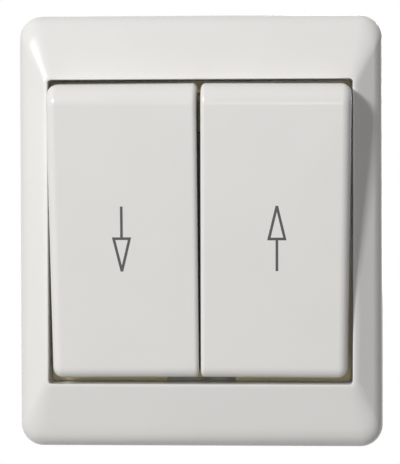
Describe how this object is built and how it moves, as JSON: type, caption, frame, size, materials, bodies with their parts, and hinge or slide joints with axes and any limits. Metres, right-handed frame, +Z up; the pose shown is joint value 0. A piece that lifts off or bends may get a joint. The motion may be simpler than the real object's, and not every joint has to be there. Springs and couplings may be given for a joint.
{
  "type": "awning switch",
  "caption": "Flush wall switch for a motor awning: ivory frame with sloping flanks and spring-return down and up keys over a contact mechanism for a round wall box.",
  "frame": {"origin": "middle of the plate on the wall plane, between the two wall box screws", "axes": "+Z up along the keys, +X to the right as seen from the front, +Y into the wall, so the front faces -Y"},
  "size_m": [0.084, 0.043, 0.1],
  "materials": {
    "ivory_plastic": "gloss",
    "carrier_plastic": "satin",
    "mechanism_plastic": "matt",
    "plunger_plastic": "matt",
    "plated_sheet": "zinc plated",
    "zinc_steel": "zinc plated",
    "brass": "stamped",
    "spring_bronze": "rolled",
    "silver": "bright"
  },
  "bodies": {
    "base": {"cover_frame": "ivory_plastic", "key_carrier": "carrier_plastic", "mechanism_housing": "mechanism_plastic", "mechanism_cover": "mechanism_plastic", "support_bridge": "plated_sheet", "carrier_screws": "zinc_steel", "terminal_screws": "zinc_steel", "terminal_clamp_line": "zinc_steel", "terminal_clamp_down": "zinc_steel", "terminal_clamp_up": "zinc_steel", "line_strip": "brass", "link_strip": "brass", "down_contact_strip": "brass", "up_contact_strip": "brass", "contact_leaf_down": "spring_bronze", "contact_leaf_up": "spring_bronze", "fixed_tips": "silver"},
    "key_down": {"key_down": "ivory_plastic"},
    "key_up": {"key_up": "ivory_plastic"},
    "plunger_down": {"plunger_down": "plunger_plastic", "contact_tip_down": "silver"},
    "plunger_up": {"plunger_up": "plunger_plastic", "contact_tip_up": "silver"}
  },
  "joints": [
    {"name": "key_down_hinge", "type": "hinge", "parent": "base", "child": "key_down", "pos_m": [-0.017, -0.0059, -0.026], "axis": [-1, 0, 0], "range_deg": [0, 4.5], "stiffness_Nm_per_rad": 2, "springref_deg": -1.15},
    {"name": "plunger_down_slide", "type": "slide", "parent": "base", "child": "plunger_down", "axis": [0, 1, 0], "range_m": [0, 0.0022], "deforming": ["contact_leaf_down"]},
    {"name": "key_up_hinge", "type": "hinge", "parent": "base", "child": "key_up", "pos_m": [0.017, -0.0059, -0.026], "axis": [-1, 0, 0], "range_deg": [0, 4.5], "stiffness_Nm_per_rad": 2, "springref_deg": -1.15},
    {"name": "plunger_up_slide", "type": "slide", "parent": "base", "child": "plunger_up", "axis": [0, 1, 0], "range_m": [0, 0.0022], "deforming": ["contact_leaf_up"]}
  ],
  "couplings": [
    {"joint": "plunger_down_slide", "follows": "key_down_hinge", "m_per_rad": 0.027976},
    {"joint": "plunger_up_slide", "follows": "key_up_hinge", "m_per_rad": 0.027976}
  ]
}
